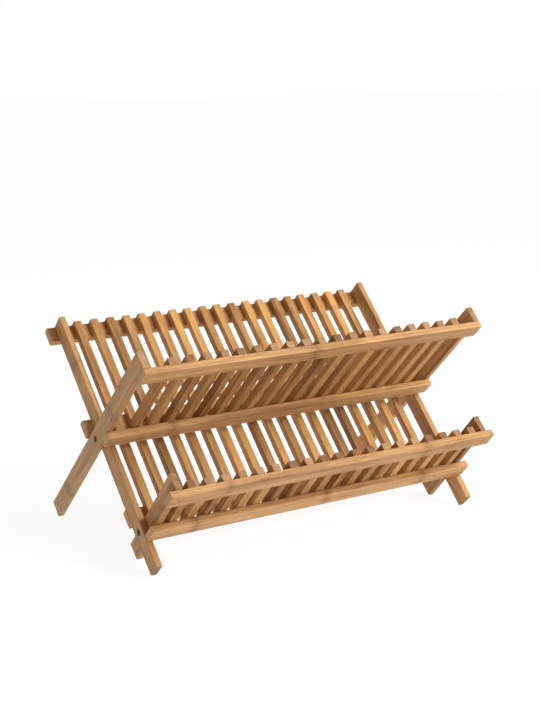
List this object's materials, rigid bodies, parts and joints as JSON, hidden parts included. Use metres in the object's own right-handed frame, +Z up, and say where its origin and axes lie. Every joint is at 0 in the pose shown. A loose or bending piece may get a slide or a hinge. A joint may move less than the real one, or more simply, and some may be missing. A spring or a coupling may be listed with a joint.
{
  "type": "dish drying rack",
  "caption": "Folding two-tier bamboo dish drying rack: three slatted frames that cross in an X and fold flat on screw pivots.",
  "frame": {"origin": "on the floor, midway between the left and right ends of the rails and midway from front to back under the open rack's outline", "axes": "+X to the right along the rails, seen from the front; -Y is the front, where the short lower frame is; +Z is up"},
  "size_m": [0.4236, 0.2732, 0.23],
  "materials": {
    "bamboo_leg": "satin lacquered bamboo, warm honey brown",
    "bamboo_rail": "satin lacquered bamboo, light honey brown",
    "bamboo_slat": "satin lacquered bamboo, honey to orange brown",
    "screw_steel": "dark oxidised steel, cross recess",
    "brad_steel": "dull steel"
  },
  "bodies": {
    "long_frame": {"long_frame_left_leg": "bamboo_leg", "long_frame_right_leg": "bamboo_leg", "long_frame_top_rail": "bamboo_rail", "long_frame_middle_rail": "bamboo_rail", "long_frame_bottom_rail": "bamboo_rail", "long_frame_slat_01": "bamboo_slat", "long_frame_slat_02": "bamboo_slat", "long_frame_slat_03": "bamboo_slat", "long_frame_slat_04": "bamboo_slat", "long_frame_slat_05": "bamboo_slat", "long_frame_slat_06": "bamboo_slat", "long_frame_slat_07": "bamboo_slat", "long_frame_slat_08": "bamboo_slat", "long_frame_slat_09": "bamboo_slat", "long_frame_slat_10": "bamboo_slat", "long_frame_slat_11": "bamboo_slat", "long_frame_slat_12": "bamboo_slat", "long_frame_slat_13": "bamboo_slat", "long_frame_slat_14": "bamboo_slat", "long_frame_slat_15": "bamboo_slat", "long_frame_slat_16": "bamboo_slat", "long_frame_slat_17": "bamboo_slat", "long_frame_slat_18": "bamboo_slat", "long_frame_slat_19": "bamboo_slat", "long_frame_brads": "brad_steel", "main_pivot_screws": "screw_steel"},
    "upper_frame": {"upper_frame_left_leg": "bamboo_leg", "upper_frame_right_leg": "bamboo_leg", "upper_frame_top_rail": "bamboo_rail", "upper_frame_bottom_rail": "bamboo_rail", "upper_frame_slat_01": "bamboo_slat", "upper_frame_slat_02": "bamboo_slat", "upper_frame_slat_03": "bamboo_slat", "upper_frame_slat_04": "bamboo_slat", "upper_frame_slat_05": "bamboo_slat", "upper_frame_slat_06": "bamboo_slat", "upper_frame_slat_07": "bamboo_slat", "upper_frame_slat_08": "bamboo_slat", "upper_frame_slat_09": "bamboo_slat", "upper_frame_slat_10": "bamboo_slat", "upper_frame_slat_11": "bamboo_slat", "upper_frame_slat_12": "bamboo_slat", "upper_frame_slat_13": "bamboo_slat", "upper_frame_slat_14": "bamboo_slat", "upper_frame_slat_15": "bamboo_slat", "upper_frame_slat_16": "bamboo_slat", "upper_frame_slat_17": "bamboo_slat", "upper_frame_slat_18": "bamboo_slat", "upper_frame_slat_19": "bamboo_slat", "upper_frame_brads": "brad_steel"},
    "lower_frame": {"lower_frame_left_leg": "bamboo_leg", "lower_frame_right_leg": "bamboo_leg", "lower_frame_top_rail": "bamboo_rail", "lower_frame_bottom_rail": "bamboo_rail", "lower_frame_slats": "bamboo_slat", "lower_frame_brads": "brad_steel", "lower_pivot_screws": "screw_steel"}
  },
  "joints": [
    {"name": "upper_frame_fold", "type": "hinge", "parent": "long_frame", "child": "upper_frame", "pos_m": [0, 0.01792, 0.11759], "axis": [-1, 0, 0], "range_deg": [0, 88.9]},
    {"name": "lower_frame_fold", "type": "hinge", "parent": "long_frame", "child": "lower_frame", "pos_m": [0, -0.06282, 0.03825], "axis": [-1, 0, 0], "range_deg": [0, 85.1]}
  ]
}
